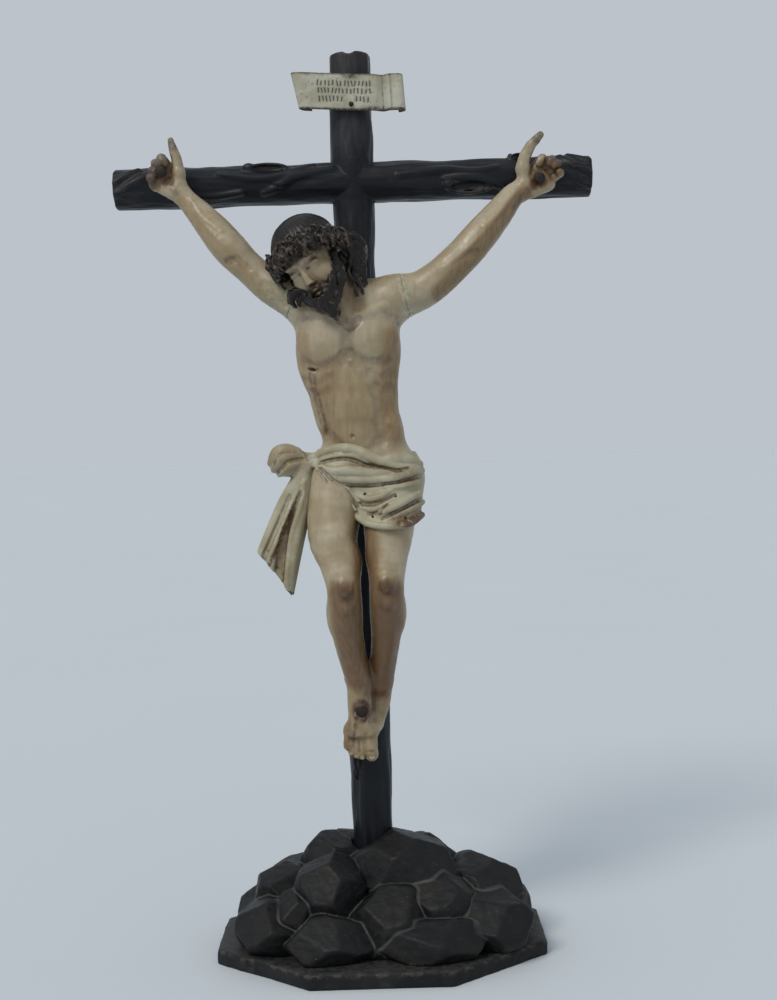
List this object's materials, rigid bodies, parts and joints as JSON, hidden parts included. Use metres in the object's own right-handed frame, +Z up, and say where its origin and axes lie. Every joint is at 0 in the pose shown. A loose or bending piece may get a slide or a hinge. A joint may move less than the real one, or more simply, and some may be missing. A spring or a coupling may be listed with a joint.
{
  "type": "crucifix corpus figure",
  "caption": "Carved and painted corpus figure nailed to a log cross with a scroll, standing in a heap of carved stones on an octagonal board.",
  "frame": {"origin": "underside of the board, at the middle of the whole object's width and depth", "axes": "+X to the viewer's right along the crossbeam, +Y to the back, +Z up along the post"},
  "size_m": [0.346, 0.18, 0.6479],
  "materials": {
    "board_paint": "black paint on wood, worn to brown and grey at the edges",
    "stone_paint": "black paint on carved wood, grey dust in the joints",
    "cross_paint": "black satin paint on carved wood, scratched and worn brown in places",
    "flesh_paint": "aged flesh-coloured paint under brown varnish, with chips down to the wood",
    "scroll_paint": "aged ivory paint, dark at the edges",
    "iron": "rusted iron"
  },
  "bodies": {
    "root": {"base_board": "board_paint", "rock_heap": "stone_paint", "cross_post": "cross_paint", "cross_beam": "cross_paint", "corpus_body": "flesh_paint", "corpus_right_arm": "flesh_paint", "corpus_left_arm": "flesh_paint", "title_scroll": "scroll_paint", "nail_right_hand": "iron", "nail_left_hand": "iron", "nail_feet": "iron", "nail_scroll": "iron"}
  },
  "joints": []
}
